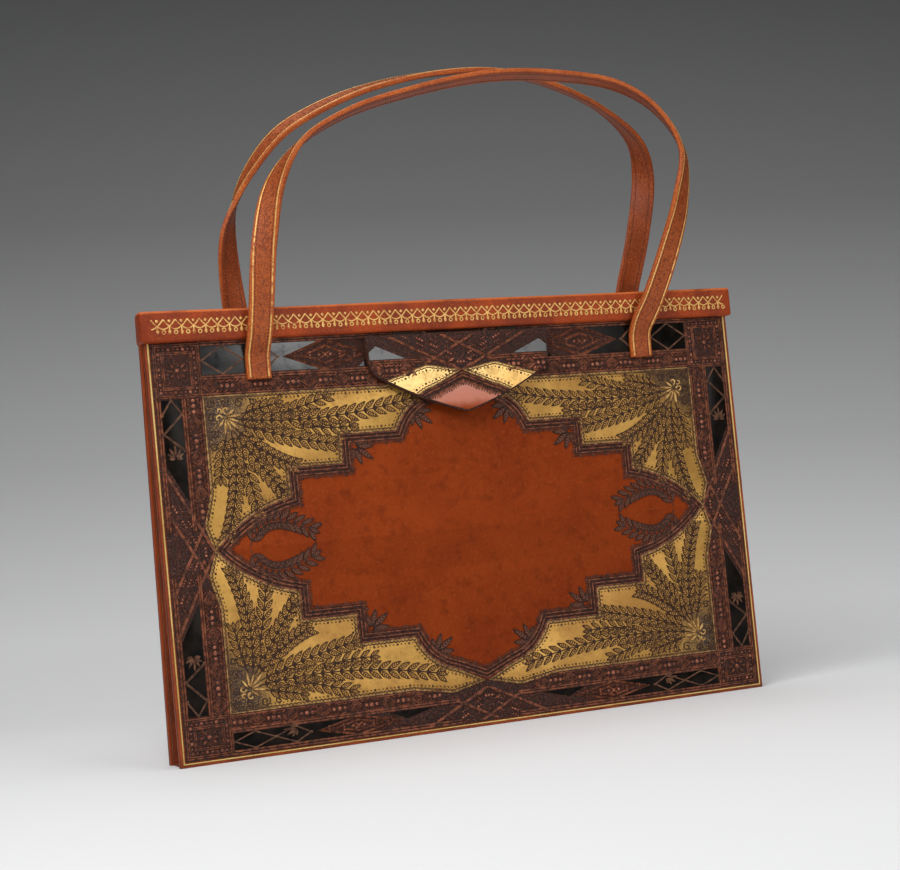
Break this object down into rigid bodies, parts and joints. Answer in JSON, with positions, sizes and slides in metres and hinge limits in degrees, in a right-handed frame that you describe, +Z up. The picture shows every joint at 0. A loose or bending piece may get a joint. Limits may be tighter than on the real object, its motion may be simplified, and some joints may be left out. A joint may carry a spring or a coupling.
{
  "type": "leather handbag",
  "caption": "Flat tooled-leather handbag with stiff panels, leather-clad bars along its mouth, a lift tab and strap handles.",
  "frame": {"origin": "on the floor, under the middle of the bag", "axes": "+X to the right as seen from the tooled front, +Y towards the back, +Z up"},
  "size_m": [0.2846, 0.0364, 0.2928],
  "materials": {
    "tooled_leather": "tooled, dyed and gilt cowhide, semi-gloss",
    "rear_leather": "tan cowhide with ruled lines, semi-gloss",
    "bar_leather": "tan cowhide with a gilt running border",
    "strap_leather": "tooled tan strap leather",
    "gusset_leather": "thin soft tan leather",
    "tab_lining": "thin plain brown leather",
    "board": "dense binder's board",
    "lining": "woven brown lining",
    "steel": "plain sheet steel",
    "brass": "dull brass"
  },
  "bodies": {
    "back": {"rear_leather": "rear_leather", "rear_board": "board", "rear_lining": "lining", "rear_rail": "steel", "rear_bar_cover": "bar_leather", "rear_strap_feet": "strap_leather", "catch_keeper": "brass", "gusset_left": "gusset_leather", "gusset_right": "gusset_leather", "bottom_strip": "gusset_leather"},
    "front": {"front_leather": "tooled_leather", "front_board": "board", "front_lining": "lining", "front_rail": "steel", "front_bar_cover": "bar_leather", "front_strap_feet": "strap_leather", "tab_pin": "brass"},
    "tab": {"tab_leather": "tooled_leather", "tab_plate": "brass", "tab_lining": "tab_lining"},
    "front_handle": {"front_strap": "strap_leather"},
    "rear_handle": {"rear_strap": "strap_leather"}
  },
  "joints": [
    {"name": "front_swing", "type": "hinge", "parent": "back", "child": "front", "pos_m": [0, -0.0085, 0], "axis": [1, 0, 0], "range_deg": [0, 20], "deforming": ["gusset_left", "gusset_right"]},
    {"name": "tab_lift", "type": "hinge", "parent": "front", "child": "tab", "pos_m": [0, -0.00555, 0.17143], "axis": [-1, 0, 0], "range_deg": [0, 65]},
    {"name": "front_handle_fold", "type": "hinge", "parent": "front", "child": "front_handle", "pos_m": [0, -0.00606, 0.16699], "axis": [1, 0, 0], "range_deg": [0, 115]},
    {"name": "rear_handle_fold", "type": "hinge", "parent": "back", "child": "rear_handle", "pos_m": [0, 0.00606, 0.16699], "axis": [-1, 0, 0], "range_deg": [0, 115]}
  ]
}
